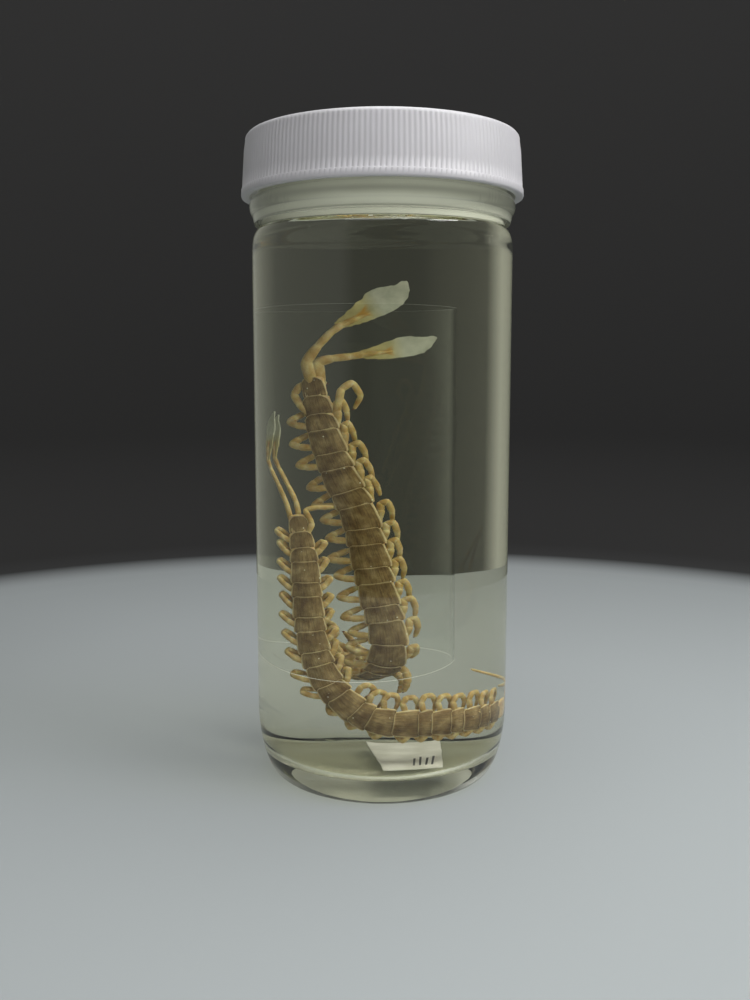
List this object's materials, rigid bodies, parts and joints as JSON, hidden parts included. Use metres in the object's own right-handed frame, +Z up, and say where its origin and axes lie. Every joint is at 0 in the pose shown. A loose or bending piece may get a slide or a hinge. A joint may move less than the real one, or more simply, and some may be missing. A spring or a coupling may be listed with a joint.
{
  "type": "feather-tail centipede wet specimen in a jar",
  "caption": "Preserved feather-tail centipede hanging tail up beside a second one, in a clear glass jar of fluid with a white ribbed screw lid.",
  "frame": {"origin": "middle of the jar's standing ring, on the surface it stands on", "axes": "+Z up along the jar's axis, -Y towards the viewer and the animals' backs, +X to the right of the jar as seen from the front"},
  "size_m": [0.0618, 0.0618, 0.142],
  "materials": {
    "glass": "clear, smooth, faint green at the thick edges",
    "lid_plastic": "satin moulded plastic, ribbed",
    "clear_film": "thin clear plastic film, smooth",
    "tag_paper": "matt, wet",
    "tergite_cuticle": "satin, fine lengthwise streaks, pale margins",
    "limb_cuticle": "satin, slightly translucent",
    "leaf_cuticle": "satin, translucent leaf with an ochre core",
    "companion_cuticle": "satin, slightly translucent"
  },
  "bodies": {
    "root": {"jar": "glass", "lid": "lid_plastic", "film_sleeve": "clear_film", "paper_tag": "tag_paper", "trunk_1": "tergite_cuticle", "trunk_2": "tergite_cuticle", "trunk_3": "tergite_cuticle", "trunk_4": "tergite_cuticle", "trunk_5": "tergite_cuticle", "trunk_6": "tergite_cuticle", "head": "limb_cuticle", "antenna_left": "limb_cuticle", "antenna_right": "limb_cuticle", "leg_left_01": "limb_cuticle", "leg_left_02": "limb_cuticle", "leg_left_03": "limb_cuticle", "leg_left_04": "limb_cuticle", "leg_left_05": "limb_cuticle", "leg_left_06": "limb_cuticle", "leg_left_07": "limb_cuticle", "leg_left_08": "limb_cuticle", "leg_left_09": "limb_cuticle", "leg_left_10": "limb_cuticle", "leg_left_11": "limb_cuticle", "leg_left_12": "limb_cuticle", "leg_left_13": "limb_cuticle", "leg_left_14": "limb_cuticle", "leg_left_15": "limb_cuticle", "leg_left_16": "limb_cuticle", "leg_left_17": "limb_cuticle", "leg_left_18": "limb_cuticle", "leg_left_19": "limb_cuticle", "leg_left_20": "limb_cuticle", "leg_right_01": "limb_cuticle", "leg_right_02": "limb_cuticle", "leg_right_03": "limb_cuticle", "leg_right_04": "limb_cuticle", "leg_right_05": "limb_cuticle", "leg_right_06": "limb_cuticle", "leg_right_07": "limb_cuticle", "leg_right_08": "limb_cuticle", "leg_right_09": "limb_cuticle", "leg_right_10": "limb_cuticle", "leg_right_11": "limb_cuticle", "leg_right_12": "limb_cuticle", "leg_right_13": "limb_cuticle", "leg_right_14": "limb_cuticle", "leg_right_15": "limb_cuticle", "leg_right_16": "limb_cuticle", "leg_right_17": "limb_cuticle", "leg_right_18": "limb_cuticle", "leg_right_19": "limb_cuticle", "leg_right_20": "limb_cuticle", "ultimate_leg_right": "leaf_cuticle", "ultimate_leg_left": "leaf_cuticle", "companion_centipede": "companion_cuticle"}
  },
  "joints": []
}
